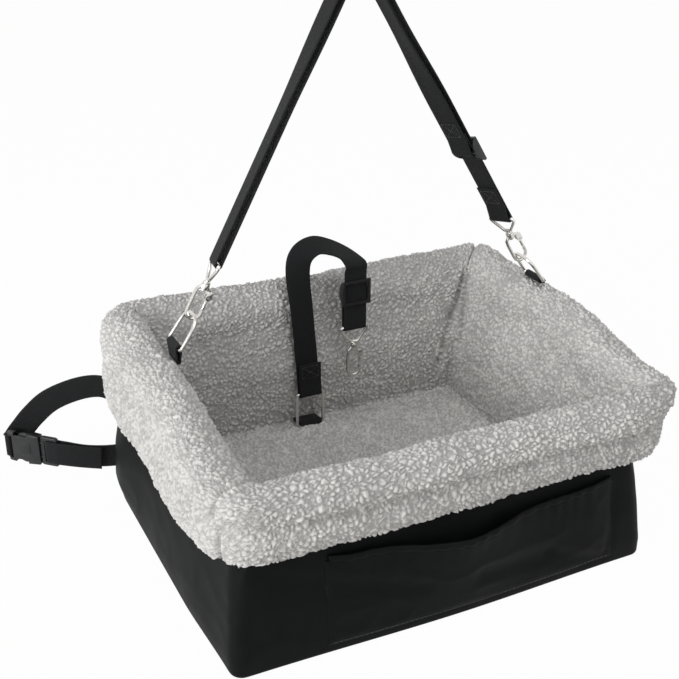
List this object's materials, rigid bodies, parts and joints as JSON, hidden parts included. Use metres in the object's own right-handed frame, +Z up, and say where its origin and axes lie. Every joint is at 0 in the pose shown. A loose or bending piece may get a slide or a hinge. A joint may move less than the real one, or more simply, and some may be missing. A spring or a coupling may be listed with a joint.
{
  "type": "hanging dog booster seat",
  "caption": "Open-topped soft box with a fleece lining and rolled cuff, hung by an adjustable strap on snap hooks, with tether, front pocket and rear belt buckle",
  "frame": {"origin": "middle of the base's underside, on the surface that it stands on", "axes": "X to the right along the front, Y to the back, Z up"},
  "size_m": [0.5415, 0.4338, 0.5127],
  "materials": {
    "black_nylon_cloth": "matte woven nylon",
    "grey_fleece": "curly pile",
    "grey_board": "plain",
    "white_foam": "open cell",
    "dark_webbing": "ribbed webbing",
    "nickel_plate": "bright plated",
    "black_plastic": "moulded"
  },
  "bodies": {
    "seat": {"outer_shell": "black_nylon_cloth", "base_board": "grey_board", "base_pad": "white_foam", "wall_board_front": "grey_board", "wall_board_back": "grey_board", "wall_board_left": "grey_board", "wall_board_right": "grey_board", "fleece_liner": "grey_fleece", "rim_foam": "white_foam", "front_pocket": "black_nylon_cloth", "pocket_elastic": "black_nylon_cloth", "tab_left": "dark_webbing", "tab_right": "dark_webbing", "ring_left": "nickel_plate", "ring_right": "nickel_plate", "tether_anchor": "dark_webbing", "buckle_clip": "black_plastic", "belt_lower": "dark_webbing"},
    "hanging_strap": {"hanging_strap": "dark_webbing", "left_hook_eye": "nickel_plate", "right_hook_eye": "nickel_plate"},
    "strap_slider": {"strap_slider": "black_plastic", "strap_end": "dark_webbing"},
    "left_hook": {"left_hook_body": "nickel_plate", "left_hook_pin": "nickel_plate"},
    "left_gate": {"left_hook_gate": "nickel_plate"},
    "right_hook": {"right_hook_body": "nickel_plate", "right_hook_pin": "nickel_plate"},
    "right_gate": {"right_hook_gate": "nickel_plate"},
    "tether": {"tether_ring": "nickel_plate", "tether_strap": "dark_webbing", "tether_hook_eye": "nickel_plate"},
    "tether_slider": {"tether_slider": "black_plastic", "tether_end": "dark_webbing"},
    "tether_hook": {"tether_hook_body": "nickel_plate", "tether_hook_pin": "nickel_plate"},
    "tether_gate": {"tether_hook_gate": "nickel_plate"},
    "buckle_socket": {"buckle_socket": "black_plastic", "belt_upper": "dark_webbing"},
    "clip_arm_upper": {"clip_arm_upper": "black_plastic"},
    "clip_arm_lower": {"clip_arm_lower": "black_plastic"}
  },
  "joints": [
    {"name": "strap_swing", "type": "hinge", "parent": "seat", "child": "hanging_strap", "pos_m": [0.03, 0.062, 0.21312], "axis": [1, 0, 0], "range_deg": [-45, 45]},
    {"name": "strap_adjust", "type": "slide", "parent": "hanging_strap", "child": "strap_slider", "axis": [0.5259, 0, -0.8506], "range_m": [0, 0.022]},
    {"name": "left_hook_swivel", "type": "hinge", "parent": "hanging_strap", "child": "left_hook", "pos_m": [-0.14784, 0.062, 0.21306], "axis": [0.4729, 0, 0.8811], "range_deg": [-15, 15]},
    {"name": "left_gate_hinge", "type": "hinge", "parent": "left_hook", "child": "left_gate", "pos_m": [-0.1307, 0.062, 0.2302], "axis": [0, 1, 0], "range_deg": [0, 20], "stiffness_Nm_per_rad": 0.0005, "springref_deg": -20.05},
    {"name": "right_hook_swivel", "type": "hinge", "parent": "hanging_strap", "child": "right_hook", "pos_m": [0.21005, 0.062, 0.21318], "axis": [-0.5259, 0, 0.8506], "range_deg": [-15, 15]},
    {"name": "right_gate_hinge", "type": "hinge", "parent": "right_hook", "child": "right_gate", "pos_m": [0.2038, 0.062, 0.2366], "axis": [0, 1, 0], "range_deg": [0, 20], "stiffness_Nm_per_rad": 0.0005, "springref_deg": -20.05},
    {"name": "tether_swing", "type": "hinge", "parent": "seat", "child": "tether", "pos_m": [-0.0005, 0.13, 0.0375], "axis": [1, 0, 0], "range_deg": [0, 55]},
    {"name": "tether_adjust", "type": "slide", "parent": "tether", "child": "tether_slider", "axis": [0, 0, 1], "range_m": [0, 0.004]},
    {"name": "tether_hook_swivel", "type": "hinge", "parent": "tether", "child": "tether_hook", "pos_m": [0.047, 0.122, 0.0885], "axis": [0, 0, 1], "continuous": true},
    {"name": "tether_gate_hinge", "type": "hinge", "parent": "tether_hook", "child": "tether_gate", "pos_m": [0.054, 0.122, 0.1117], "axis": [0, 1, 0], "range_deg": [0, 20], "stiffness_Nm_per_rad": 0.0005, "springref_deg": -20.05},
    {"name": "buckle_release", "type": "slide", "parent": "seat", "child": "buckle_socket", "axis": [-0.7218, 0.6921, 0], "range_m": [0, 0.032], "deforming": ["clip_arm_upper", "clip_arm_lower"]},
    {"name": "clip_arm_upper_squeeze", "type": "hinge", "parent": "seat", "child": "clip_arm_upper", "pos_m": [-0.26943, 0.21084, 0.038], "axis": [-0.6921, -0.7218, 0], "range_deg": [0, 10], "stiffness_Nm_per_rad": 0.02},
    {"name": "clip_arm_lower_squeeze", "type": "hinge", "parent": "seat", "child": "clip_arm_lower", "pos_m": [-0.26943, 0.21084, 0.022], "axis": [0.6921, 0.7218, 0], "range_deg": [0, 10], "stiffness_Nm_per_rad": 0.02}
  ]
}
